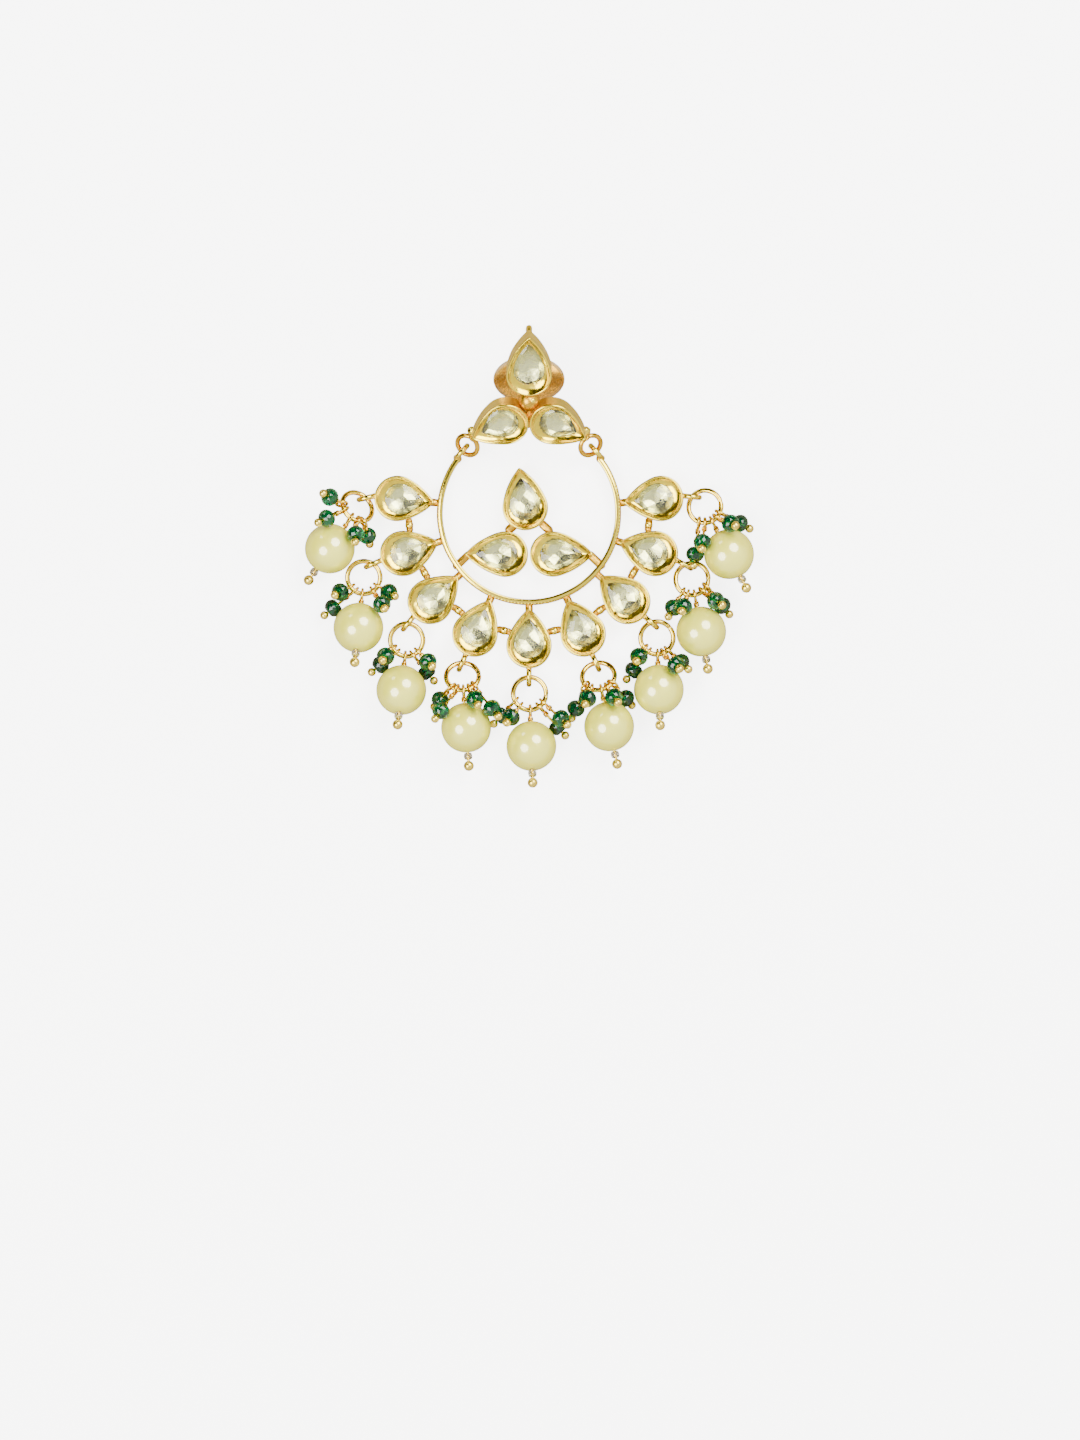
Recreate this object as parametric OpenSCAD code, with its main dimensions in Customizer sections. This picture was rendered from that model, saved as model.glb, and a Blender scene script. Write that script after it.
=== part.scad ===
// Chandbali earring: a pear-set stud linked to a crescent of pear settings with nine pearl drops.
// It lies face up on a flat surface. Z is up, and the crescent opens towards +Y.

/* [Pear settings] */
// Length of a pear setting, from its tip to its round end
pear_l = 8.5; // [8:0.1:9]
// Width of a pear setting
pear_w = 6.4; // [6:0.1:6.8]
// Length of the stud's two side settings
side_pear_l = 8.5; // [8.2:0.1:9]
// Length of the stud's top setting
top_pear_l = 9.4; // [8.8:0.1:10]
// Length of the three settings inside the crescent
inner_pear_l = 8.9; // [8.5:0.1:9.2]
// Height of a setting, from its open back to its rim
setting_h = 2.5; // [2:0.1:3]
// Thickness of a setting's side wall
wall_t = 0.4; // [0.3:0.05:0.5]
// Width of the flat rim at a setting's front
rim_w = 0.3; // [0.2:0.05:0.4]
// Width of the sloping inner bevel
bevel_w = 0.85; // [0.6:0.05:1]
// Depth of the inner bevel below the rim
bevel_depth = 0.9; // [0.6:0.05:1.1]
// Thickness of the lip over the stone's edge
lip_t = 0.15; // [0.1:0.05:0.25]

/* [Stones] */
// Clearance between a stone and its setting
stone_gap = 0.12; // [0.08:0.02:0.2]
// Thickness of a stone below the setting's lip
stone_t = 0.8; // [0.6:0.05:1]
// Height of the crown that stands in the setting's mouth
crown_h = 0.5; // [0.3:0.05:0.7]
// Width of the crown's facets, seen from the front
crown_w = 0.75; // [0.5:0.05:0.9]

/* [Crescent] */
// Radius of the crescent band's middle line
band_r = 12.5; // [12:0.1:13.5]
// Thickness of the band, across its radius
band_t = 0.85; // [0.6:0.05:1.1]
// Height of the band
band_h = 1.7; // [1.2:0.1:2.2]
// Gap between neighbouring outer settings
setting_gap = 1.35; // [1.1:0.05:1.6]
// Angle that the band runs on past its last outer setting
band_run = 31; // [29:1:33]
// Diameter of the solder beads between outer settings
spacer_d = 1.1; // [0.9:0.05:1.3]
// Diameter of the solder joints at the settings' tips
solder_d = 1.1; // [0.9:0.05:1.3]
// Gap between the band and the outer settings' tips
band_gap = 0.35; // [0.2:0.05:0.5]

/* [Eyes and jump rings] */
// Outer diameter of the eye at each outer setting's round end
eye_d = 3; // [2.8:0.1:3.2]
// Diameter of the eyes' wire
eye_wire = 0.75; // [0.6:0.05:0.8]
// Outer diameter of a jump ring
ring_d = 5.3; // [5:0.1:5.6]
// Diameter of a jump ring's wire
ring_wire = 0.7; // [0.6:0.05:0.75]

/* [Drops] */
// Diameter of a pearl
pearl_d = 7; // [6.6:0.1:7.4]
// Diameter of a drop pin's wire
pin_wire = 0.4; // [0.3:0.05:0.45]
// Clearance round the pin in a drilled pearl or bead
drill_gap = 0.1; // [0.08:0.02:0.16]
// Inner diameter of a pin's wrapped loop
loop_bore = 1.1; // [1.05:0.05:1.3]
// Length of the wire wrap below a loop
wrap_l = 0.7; // [0.5:0.05:0.9]
// Length of pin left bare below the pearl for a seed bead
seed_l = 1.2; // [1:0.1:1.4]
// Diameter of the ball that ends a pearl's pin
pearl_ball_d = 1.44; // [1.2:0.02:1.6]
// Diameter of the ball that ends a green bead's pin
bead_ball_d = 1.2; // [1:0.05:1.3]
// Diameter of a green bead
bead_d = 2.6; // [2.4:0.05:2.7]
// Length of a green bead along its pin
bead_l = 1.9; // [1.6:0.05:2]

/* [Stud] */
// Distance of the stud's side tips beyond the band's ends
stud_rise = 3.9; // [3.6:0.1:4.4]
// Slope at which the stud rests on its post
stud_tilt = 30; // [26:1:32]
// Angle of the side settings below the stud's cross line
side_slope = 26; // [24:1:28]
// Distance from the side tips up to the top setting's round end
top_rise = 6.9; // [6.6:0.1:7.4]
// Diameter of the solder ball where the three stud settings meet
junction_d = 3.2; // [3:0.1:3.4]
// Outer diameter of the two loops under the stud's side tips
link_d = 3.8; // [3.6:0.1:4.2]
// Diameter of the link loops' wire
link_wire = 0.7; // [0.6:0.05:0.75]
// Slope of the link loops
link_tilt = 40; // [36:1:44]

/* [Ear post and push back] */
// Diameter of the ear post
post_d = 0.9; // [0.8:0.05:1]
// Length of the ear post behind the settings
post_l = 12.3; // [11:0.1:12.5]
// Lean of the ear post towards the stud's top
post_lean = 20; // [16:1:22]
// Distance of the post's foot above the side tips
post_up = 6.2; // [6:0.1:6.3]
// Distance of the post's notch from its tip
notch_from_tip = 2; // [1.8:0.1:2.2]
// Diameter of the push back's pad
pad_d = 10; // [9:0.5:10.5]
// Thickness of the pad
pad_t = 0.4; // [0.3:0.05:0.6]
// Length of the whole push back
back_l = 6.1; // [5.5:0.1:6.5]
// Diameter of the flange behind the pad
flange_d = 5.9; // [5:0.1:6.5]
// Diameter of the push back's barrel
barrel_d = 4; // [3.6:0.1:4.5]
// Diameter of the barrel's open mouth
mouth_d = 2.6; // [2.2:0.1:2.8]
// Running clearance round the post in the push back
slide_gap = 0.05; // [0.03:0.01:0.08]

/* [Hidden] */

// A pear's flank is an arc of this many widths' radius
flank_share = 1.56;
// Points along each flank and round the head of a setting, and of a stone
setting_steps = [3, 14];
stone_steps = [2, 8];

outer_count = 9;
tip_r = band_r + band_t / 2 + band_gap;
head_r = tip_r + pear_l - pear_w / 2;
setting_step = 2 * asin((pear_w + setting_gap) / 2 / head_r);
band_half = (outer_count - 1) / 2 * setting_step + band_run;
solder_z = setting_h * 0.45;
band_z = (setting_h - band_h) / 2;

spacer_r = tip_r + pear_l * 0.42;
// Half the length of a solder bead between outer settings, and of the solder over a setting's tip
spacer_half = setting_gap * 0.45;
tip_lap = solder_d * 0.3;
// How far below the crescent's centre the inner side settings lie, and how far out their tips are
inner_drop = 5.75;
inner_tip_x = inner_pear_l + 0.12;
// The inner top setting's tip and heading, and how far its round end reaches below the centre
inner_top_reach = 2.5;
inner_top_x = -1.4;
inner_top_heading = -81;
// The solder knots beside the inner settings' round ends
knot_x = 2.5;
knot_y = -2.1;
knot_run = 0.3;
knot_d = solder_d * 1.2;
// The solder from an inner side setting's tip runs down to the band by this much
tip_cover = 0.4;
tip_drop = 0.2;
foot_drop = 1.6;

eye_r = (eye_d - eye_wire) / 2;
ring_r = (ring_d - ring_wire) / 2;
loop_r = (loop_bore + pin_wire) / 2;
// Slack of a taut pin loop on its jump ring
loop_play = 0.08;
// How far out in its eye a jump ring is pulled
eye_pull = 0.1;
loop_seat = ring_r + (loop_bore - ring_wire) / 2 - loop_play;
wrap_d = 2 * pin_wire;
wrap_end = loop_r + pin_wire / 2 + wrap_l;
piece_gap = 0.05;
pearl_reach = wrap_end + piece_gap + pearl_d / 2;
pearl_pin_l = pearl_reach + pearl_d / 2 + seed_l + pearl_ball_d / 2;

// One row a drop: the jump ring's heading and slope, the heading of the pearl's pin and how far
// the eye is turned towards the ring
DROP_RING = [[226, 40, 236, 20], [236, -4, 264, 6], [266, -4, 264, 10], [272, 34, 274, 0],
    [272, 4, 272, 0], [280, 34, 282, 0], [290, 0, 272, 0], [297, 12, 280, -12], [322, 12, 297, -12]];
// Four green beads a drop. Each has its loop's place round the jump ring, its pin's turn from
// the pearl's pin, its bare stem as a share of bead_d and its lift as a share of pearl_d
DROP_BEADS = [
    [[-60, -85, 0.1, 0.7], [-35, -30, 0.2, 0.7], [25, 30, 0, 0.7], [50, 50, 0, 0.1]],
    [[-50, -55, 0, 0.3], [-30, -45, 0.4, 0], [40, 40, 0.8, 0.6], [65, 65, 0, 0.3]],
    [[-55, -30, 0.2, 0.4], [-35, -45, 0, 0], [30, 45, 0.1, 0], [50, 50, 0.3, 0.4]],
    [[-45, -45, 0.1, 0.1], [-25, -40, 0.6, 0.7], [20, 25, 0, 0.7], [40, 35, 0.6, 0.6]],
    [[-64, -45, 0, 0.1], [-40, -40, 0.1, 0.4], [35, 40, 0.4, 0.05], [55, 45, 0.5, 0.4]],
    [[-60, -35, 0.4, 0.1], [-35, -35, 0, 0.7], [20, 25, 0, 0.7], [45, 30, 0.3, 0.05]],
    [[-55, -30, 0.1, 0.4], [-35, -40, 0.2, 0], [20, 45, 1, 0.7], [40, 45, 0, 0.2]],
    [[-45, -40, 0, 0.3], [-25, -30, 0.6, 0.7], [30, 45, 0.2, 0.5], [50, 30, 0.3, 0.05]],
    [[-47, -34, 0.7, 0.2], [-26, -35, 0.8, 0.7], [20, 40, 0.6, 0.7], [40, 35, 0.2, 0.05]]];

// The post's rounded tip touches the ground, which sets the height of the stud's side tips
post_slope = stud_tilt + post_lean;
post_foot_z = post_d / 2 + (post_l - post_d / 2) * cos(post_slope);
stud_z = post_foot_z - post_up * sin(stud_tilt);
stud_y = -band_r * cos(band_half) + stud_rise;
// The stud's two side settings stand this far off its middle line
side_split = 0.05;
side_head = pear_w / 2 + side_split;
side_tip = side_head + (side_pear_l - pear_w / 2) * cos(side_slope);

// The pad's rim stays this clear of the settings' backs
pad_clear = 0.3;
pad_place = (pad_d / 2 * sin(post_lean) + pad_clear) / cos(post_lean);
// The push back's lengths behind its pad, and the radius of its narrow end
grip_l = back_l * 0.55;
flange_l = back_l * 0.15;
neck_l = back_l * 0.62;
end_r = barrel_d * 0.4;

// A stone's back is smaller all round by the first, and its girdle lies between the two depths
stone_back_in = 0.3;
girdle_foot = stone_t * 0.6;
girdle_top = 0.1;
// Radius of a green bead's flat ends
bead_end_r = bead_d * 0.32;

ring_facets = 48;
wire_facets = 24;
ball_facets = 40;
bead_sides = 10;
junction_sides = 12;
link_sides = 12;
// Facets of the frames' meshed rings, wires and solder
mesh_ring_facets = 16;
mesh_wire_facets = 6;
mesh_ball_facets = 10;

// Where the whole lies over the origin, from the reach of its outermost pearls and balls
function right_end(i) = pearl_at(i)[0] + pearl_d / 2;
function left_end(i) = min(pearl_at(i)[0] - pearl_d / 2, ball_at(i)[0] - pearl_ball_d / 2);
function low_end(i) = ball_at(i)[1] - pearl_ball_d / 2;
drops = [for (i = [0:outer_count - 1]) i];
box_x = (max([for (i = drops) right_end(i)]) + min([for (i = drops) left_end(i)])) / 2;
box_top = stud_y + post_up * cos(stud_tilt) + (post_l - post_d / 2) * sin(post_slope) + post_d / 2;
box_y = (box_top + min([for (i = drops) low_end(i)])) / 2;

function unit(v) = v / norm(v);
function heading(a) = [cos(a), sin(a), 0];

// A turn and move that takes X to x_dir and Z as near z_dir as it can
function frame_at(place, x_dir, z_dir) =
    let (ex = unit(x_dir), ez = unit(z_dir - (z_dir * ex) * ex), ey = cross(ez, ex))
    [[ex[0], ey[0], ez[0], place[0]], [ex[1], ey[1], ez[1], place[1]],
     [ex[2], ey[2], ez[2], place[2]], [0, 0, 0, 1]];

// A pear's outline with its tip at the origin and its head on +X, moved in by inset
function pear_outline(l, inset, steps) =
    let (r = pear_w / 2, head = l - r, flank = flank_share * pear_w,
         cx = (head * head + 2 * flank * r - r * r) / (2 * head),
         cy = sqrt(flank * flank - cx * cx),
         tip = cx - sqrt(pow(flank - inset, 2) - cy * cy),
         a_tip = atan2(cy, tip - cx), a_head = atan2(cy, head - cx),
         side = [for (i = [0:steps[0] - 1]) let (a = a_tip + (a_head - a_tip) * i / steps[0])
                 [cx + (flank - inset) * cos(a), cy - (flank - inset) * sin(a)]],
         round_end = [for (i = [0:steps[1]]) let (a = -a_head + 2 * a_head * i / steps[1])
                      [head + (r - inset) * cos(a), (r - inset) * sin(a)]])
    concat(side, round_end, [for (i = [steps[0] - 1:-1:1]) [side[i][0], -side[i][1]]]);

function lifted(outline, z) = [for (p = outline) [p[0], p[1], z]];

// The skin between rings of points, each with as many points as the next
function skin_faces(rings, count, closed) =
    [for (k = [0:rings - (closed ? 1 : 2)], i = [0:count - 1])
        let (up = (k + 1) % rings, next = (i + 1) % count)
        [k * count + i, up * count + i, up * count + next, k * count + next]];

// A pear setting, open at front and back, with a bevel that falls to a lip
module setting(l) {
    lip_z = setting_h - bevel_depth;
    profile = [[0, 0], [0, setting_h], [rim_w, setting_h], [rim_w + bevel_w, lip_z],
        [wall_t, lip_z - lip_t], [wall_t, 0]];
    count = 2 * setting_steps[0] + setting_steps[1];
    points = [for (p = profile) each lifted(pear_outline(l, p[0], setting_steps), p[1])];
    polyhedron(points, skin_faces(len(profile), count, true));
}

// A pear stone: flat back, upright girdle, a crown of facets and a table
module pear_stone(l) {
    top_z = setting_h - bevel_depth - lip_t - stone_gap;
    edge = wall_t + stone_gap;
    mouth = rim_w + bevel_w + stone_gap;
    profile = [[edge + stone_back_in, top_z - stone_t], [edge, top_z - girdle_foot],
        [edge, top_z - girdle_top], [mouth, top_z], [mouth + crown_w, top_z + crown_h]];
    count = 2 * stone_steps[0] + stone_steps[1];
    points = [for (p = profile) each lifted(pear_outline(l, p[0], stone_steps), p[1])];
    last = (len(profile) - 1) * count;
    polyhedron(points, concat(skin_faces(len(profile), count, false),
        [[for (i = [0:count - 1]) i]], [[for (i = [count - 1:-1:0]) last + i]]));
}

module wire_ring(r, wire, facets = ring_facets, wire_sides = wire_facets) {
    rotate_extrude($fn = facets)
        translate([r, 0])
            circle(d = wire, $fn = wire_sides);
}

// Puts its child where outer setting i is, with the tip at the band
module at_outer(i) {
    rotate(outer_heading(i))
        translate([tip_r, 0, 0])
            children();
}

// The three inner settings: the tip's place and the heading from the tip to the head
INNER = [[[-inner_tip_x, -inner_drop], 0], [[inner_top_x, inner_pear_l - inner_top_reach], inner_top_heading],
    [[inner_tip_x, -inner_drop], 180]];

// Solder that ties the inner settings to each other and to the band
function inner_knot(s) = [s * knot_x, knot_y, solder_z];
function inner_tip(s) = [s * (inner_tip_x - tip_cover), -inner_drop - tip_drop, solder_z];
function inner_foot(s) = let (y = inner_drop + foot_drop) [s * sqrt(band_r * band_r - y * y), -y, solder_z];

module at_inner(i) {
    translate([INNER[i][0][0], INNER[i][0][1], 0])
        rotate(INNER[i][1])
            children();
}

// The stud's own plane, with X across its side tips
module at_stud() {
    translate([0, stud_y, stud_z])
        rotate([stud_tilt, 0, 0])
            children();
}

STUD = [[[-side_tip, 0], side_slope, side_pear_l], [[0, top_rise + top_pear_l], -90, top_pear_l],
    [[side_tip, 0], 180 - side_slope, side_pear_l]];

module at_stud_setting(i) {
    translate([STUD[i][0][0], STUD[i][0][1], 0])
        rotate(STUD[i][1])
            children();
}

link_r = (link_d - link_wire) / 2;
peg_d = 0.7;
peg_end = 1.2;
// The solder ball's centre, its back and its height
junction_y = top_rise - junction_d * 0.45;
junction_z = setting_h * 0.15;
junction_h = setting_h * 0.6;
// The link loops stand outwards of the side tips, below them, and turned outwards
link_out = 0.6;
link_down = 2;
link_turn = 42;
// The wire to a band end's eye leaves the band this far below the eye's middle
neck_drop = 0.1;
// How far the post's foot runs up into the solder ball
post_root = 1;
// The notch that keeps a push back from sliding off
notch_w = 0.6;
notch_depth = 0.18;
notch_place = post_l - notch_from_tip - notch_w / 2;

// The jump ring of drop i: its eye, its own X and Y lines and its centre
function outer_heading(i) = -90 + (i - (outer_count - 1) / 2) * setting_step;
function eye_heading(i) = heading(outer_heading(i) + DROP_RING[i][3]);
function eye_at(i) = (tip_r + pear_l) * heading(outer_heading(i)) + eye_r * eye_heading(i)
    + [0, 0, eye_d / 2];
function ring_x(i) = let (a = DROP_RING[i][1]) cos(a) * heading(DROP_RING[i][0]) + [0, 0, sin(a)];
function ring_y(i) = heading(DROP_RING[i][0] + 90);
function ring_at(i) = eye_at(i) + eye_pull * eye_heading(i) + ring_r * ring_x(i);

// A pin loop's centre and axis at an angle round jump ring i
function loop_at(i, a) = ring_at(i) + loop_seat * (cos(a) * ring_x(i) + sin(a) * ring_y(i));
function loop_axis(i, a) = cos(a) * ring_y(i) - sin(a) * ring_x(i);
// The direction of a pin that reaches height z at a given length
function pin_dir(start, turn, length, z) =
    let (rise = (z - start[2]) / length) sqrt(1 - rise * rise) * heading(turn) + [0, 0, rise];

function pearl_turn(i) = DROP_RING[i][2] - DROP_RING[i][0];
function pearl_loop(i) = loop_at(i, pearl_turn(i));
function pearl_dir(i) = pin_dir(pearl_loop(i), DROP_RING[i][2], pearl_reach, pearl_d / 2);
function pearl_at(i) = pearl_loop(i) + pearl_reach * pearl_dir(i);
function ball_at(i) = pearl_loop(i) + pearl_pin_l * pearl_dir(i);

function bead_reach(row) = wrap_end + piece_gap + row[2] * bead_d + bead_l / 2;
function bead_loop(i, row) = loop_at(i, pearl_turn(i) + row[0]);
function bead_dir(i, row) = pin_dir(bead_loop(i, row), DROP_RING[i][2] + row[1], bead_reach(row),
    bead_d / 2 + row[3] * pearl_d);
function bead_at(i, row) = bead_loop(i, row) + bead_reach(row) * bead_dir(i, row);
function bead_pin_l(row) = bead_reach(row) + bead_l / 2 + piece_gap + bead_ball_d / 2;

// A pin along +X: its loop about the origin, its wrap, its wire and its end ball
module pin(length, ball_d) {
    wire_ring(loop_r, pin_wire);
    rotate([0, 90, 0]) {
        translate([0, 0, loop_r])
            cylinder(d = pin_wire, h = length - loop_r, $fn = wire_facets);
        translate([0, 0, wrap_end - wrap_l])
            cylinder(d = wrap_d, h = wrap_l, $fn = wire_facets);
    }
    translate([length, 0, 0])
        sphere(d = ball_d, $fn = ball_facets);
}

// A faceted rondelle along +X, drilled for its pin
module green_bead() {
    bore = pin_wire / 2 + drill_gap;
    rotate([0, 90, 0])
        rotate_extrude($fn = bead_sides)
            polygon([[bore, -bead_l / 2], [bead_end_r, -bead_l / 2], [bead_d / 2, 0],
                [bead_end_r, bead_l / 2], [bore, bead_l / 2]]);
}

// An eye of thick wire, as the frame's mesh has it
module eye() {
    wire_ring(eye_r, eye_wire, mesh_ring_facets, mesh_wire_facets);
}

// A run of solder between two points
module solder(from, to, d) {
    hull()
        for (p = [from, to])
            translate(p)
                sphere(d = d, $fn = mesh_ball_facets);
}

module moon_frame() {
    color("goldenrod") on_ground() {
        rotate(-90 - band_half)
            rotate_extrude(angle = 2 * band_half, $fn = 120)
                translate([band_r - band_t / 2, band_z])
                    square([band_t, band_h]);
        for (i = [0:outer_count - 1])
            at_outer(i) {
                setting(pear_l);
                solder([-band_gap, 0, solder_z], [tip_lap, 0, solder_z], solder_d);
                translate([pear_l, 0, eye_d / 2])
                    rotate(DROP_RING[i][3])
                        translate([eye_r, 0, 0])
                            rotate([90, 0, 0])
                                eye();
            }
        for (i = [0:outer_count - 2])
            rotate(outer_heading(i + 0.5))
                solder([spacer_r, -spacer_half, solder_z], [spacer_r, spacer_half, solder_z], spacer_d);
        for (i = [0:2])
            at_inner(i)
                setting(inner_pear_l);
        for (s = [-1, 1]) {
            solder(inner_knot(s), inner_knot(s) + knot_run * [s, -1, 0], knot_d);
            solder(inner_tip(s), inner_foot(s), solder_d);
            band_eye(s);
        }
    }
}

// The link loops under the stud's side tips, and the upright eyes at the band's ends inside them
function link_at(s) = [s * (side_tip + link_out), stud_y - link_down, eye_d / 2 + link_r * sin(link_tilt)];
function link_heading(s) = heading(90 + s * link_turn);
function link_x(s) = cos(link_tilt) * link_heading(s) + [0, 0, sin(link_tilt)];
function band_eye_at(s) = link_at(s) - link_r * link_x(s);
function band_end(s) = [s * band_r * sin(band_half), -band_r * cos(band_half), eye_d / 2];

module band_eye(s) {
    at = band_eye_at(s);
    multmatrix(frame_at(at, link_heading(s), cross(link_heading(s), [0, 0, 1])))
        eye();
    neck = at - eye_r * link_heading(s);
    rod(band_end(s) - [0, 0, neck_drop], neck, eye_wire);
}

// A round rod between two points that aren't one above the other
module rod(from, to, d) {
    multmatrix(frame_at(from, to - from, [0, 0, 1]))
        rotate([0, 90, 0])
            cylinder(d = d, h = norm(to - from), $fn = mesh_ball_facets);
}

module stud_frame() {
    color("goldenrod") on_ground() {
        at_stud() {
            for (i = [0:2])
                at_stud_setting(i)
                    setting(STUD[i][2]);
            translate([0, junction_y, junction_z])
                cylinder(d = junction_d, h = junction_h, $fn = junction_sides);
            ear_post();
            translate([0, peg_end, solder_z])
                rotate([-90, 0, 0])
                    cylinder(d = peg_d, h = junction_y - peg_end, $fn = mesh_wire_facets);
        }
        for (s = [-1, 1]) {
            multmatrix(frame_at(link_at(s), link_x(s), link_up(s)))
                wire_ring(link_r, link_wire, link_sides, mesh_wire_facets);
            solder(link_at(s) + link_r * link_x(s), [s * side_tip, stud_y, stud_z], solder_d);
        }
    }
}

function link_up(s) = cos(link_tilt) * [0, 0, 1] - sin(link_tilt) * link_heading(s);

// The post, with a round tip, in the stud's own plane
module ear_post() {
    translate([0, post_up, 0])
        rotate([post_lean - 180, 0, 0])
            union() {
                translate([0, 0, -post_root])
                    cylinder(d = post_d, h = notch_place + post_root, $fn = wire_facets);
                translate([0, 0, notch_place])
                    cylinder(d = post_d - 2 * notch_depth, h = notch_w, $fn = wire_facets);
                translate([0, 0, notch_place + notch_w])
                    cylinder(d = post_d, h = post_l - post_d / 2 - notch_place - notch_w, $fn = wire_facets);
                translate([0, 0, post_l - post_d / 2])
                    sphere(d = post_d, $fn = ball_facets);
            }
}

// A bullet shaped push back: pad, flange and hollow barrel on the post
module push_back() {
    bore = post_d / 2 + slide_gap;
    color("peachpuff") on_ground() at_stud()
        translate([0, post_up, 0])
            rotate([post_lean - 180, 0, 0])
                translate([0, 0, pad_place])
                    rotate_extrude($fn = 96)
                        polygon([[bore, 0], [pad_d / 2, 0], [pad_d / 2, pad_t], [flange_d / 2, pad_t],
                            [flange_d / 2, pad_t + flange_l], [barrel_d / 2, pad_t + flange_l],
                            [barrel_d / 2, neck_l], [end_r, neck_l], [end_r, back_l],
                            [mouth_d / 2, back_l], [mouth_d / 2, grip_l], [bore, grip_l]]);
}

module stud_stone(i) {
    color("honeydew") on_ground() at_stud() at_stud_setting(i)
        pear_stone(STUD[i][2]);
}

module inner_stone(i) {
    color("honeydew") on_ground() at_inner(i)
        pear_stone(inner_pear_l);
}

module outer_stone(i) {
    color("honeydew") on_ground() at_outer(i)
        pear_stone(pear_l);
}

module jump_ring(i) {
    color("gold") on_ground()
        multmatrix(frame_at(ring_at(i), ring_x(i), cross(ring_x(i), ring_y(i))))
            wire_ring(ring_r, ring_wire);
}

module pearl(i) {
    bore = pin_wire / 2 + drill_gap;
    color("beige") on_ground()
        multmatrix(frame_at(pearl_at(i), pearl_dir(i), [0, 0, 1]))
            rotate([0, 90, 0])
                rotate_extrude($fn = 96)
                    intersection() {
                        circle(d = pearl_d, $fn = 96);
                        translate([bore, -pearl_d / 2])
                            square([pearl_d / 2, pearl_d]);
                    }
}

// The five headpins of a drop: the pearl's and the four green beads'
module drop_pins(i) {
    color("gold") on_ground() {
        multmatrix(frame_at(pearl_loop(i), pearl_dir(i), loop_axis(i, pearl_turn(i))))
            pin(pearl_pin_l, pearl_ball_d);
        for (row = DROP_BEADS[i])
            multmatrix(frame_at(bead_loop(i, row), bead_dir(i, row), loop_axis(i, pearl_turn(i) + row[0])))
                pin(bead_pin_l(row), bead_ball_d);
    }
}

module green_beads(i) {
    color("darkgreen") on_ground()
        for (row = DROP_BEADS[i])
            multmatrix(frame_at(bead_at(i, row), bead_dir(i, row), [0, 0, 1]))
                green_bead();
}

// Moves what it holds over the origin
module on_ground() {
    translate([-box_x, -box_y, 0])
        children();
}

moon_frame();
stud_frame();
push_back();
for (i = [1:3]) {
    stud_stone(i - 1);
    inner_stone(i - 1);
}
for (i = [1:9]) {
    outer_stone(i - 1);
    jump_ring(i - 1);
    pearl(i - 1);
    drop_pins(i - 1);
    green_beads(i - 1);
}
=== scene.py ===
import math
import bmesh
import bpy
import numpy as np
from mathutils import Matrix, Vector, noise


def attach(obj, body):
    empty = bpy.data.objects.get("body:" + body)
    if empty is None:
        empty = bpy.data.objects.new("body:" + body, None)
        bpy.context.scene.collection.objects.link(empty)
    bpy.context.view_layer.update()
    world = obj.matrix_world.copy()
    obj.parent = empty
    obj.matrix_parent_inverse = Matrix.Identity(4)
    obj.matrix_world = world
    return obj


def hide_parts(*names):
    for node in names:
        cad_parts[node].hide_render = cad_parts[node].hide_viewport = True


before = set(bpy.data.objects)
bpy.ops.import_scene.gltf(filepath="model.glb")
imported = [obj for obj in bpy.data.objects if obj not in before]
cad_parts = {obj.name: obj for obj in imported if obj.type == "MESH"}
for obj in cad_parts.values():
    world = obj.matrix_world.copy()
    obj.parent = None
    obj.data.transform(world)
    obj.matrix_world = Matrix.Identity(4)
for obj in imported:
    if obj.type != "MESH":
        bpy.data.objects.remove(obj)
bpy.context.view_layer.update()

# The pear settings. Each is a strip of sheet gold bent to a pear and soldered at its tip. A thinner strip inside it
# is burnished down over the stone's edge, so the bevel is hand-worked and its inner edge is ragged. The rim is
# polished and the outer wall keeps a satin, sandy skin.
PEAR_W = 6.4
OUTER_L, INNER_L, SIDE_L, TOP_L = 8.5, 8.9, 8.5, 9.4
# One drop hangs from each outer setting. CRESCENT is the middle of the crescent's band.
DROPS = 9
BAND_R, BAND_T, BAND_H = 12.5, 0.85, 1.7
TIP_GAP, NEIGHBOUR_GAP = 0.35, 1.35
TIP_R = BAND_R + BAND_T / 2 + TIP_GAP
OUTER_STEP = 2 * math.degrees(math.asin((PEAR_W + NEIGHBOUR_GAP) / 2 / (TIP_R + OUTER_L - PEAR_W / 2)))
CRESCENT = Vector((0.031, 6.05, 0))
STUD_Y, STUD_Z, STUD_TILT = 11.48, 4.967, 30
STUD_AT = CRESCENT + Vector((0, STUD_Y, STUD_Z))
# A pear's outline: its points, its flanks' radius as a share of its width, and the rounds that ease its tip
PEAR_POINTS, FLANK_SHARE, EASING = 112, 1.56, 3
# The bevel's width at the tip, the round end and the sides, and the width of the rim before it
TIP_BEVEL, HEAD_BEVEL, SIDE_BEVEL, RIM_W = 1.55, 1.5, 1.05, 0.31


def turned(degrees, axis="Z"):
    return Matrix.Rotation(math.radians(degrees), 4, axis)


def moved(x, y, z=0):
    return Matrix.Translation((x, y, z))


def soft(point, size, seed):
    """A smooth wandering value from -1 to 1 that changes over about size, the same at every run."""
    return noise.noise(Vector(point) / size + Vector((7.1, 3.3, 9.7)) * seed)


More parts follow.
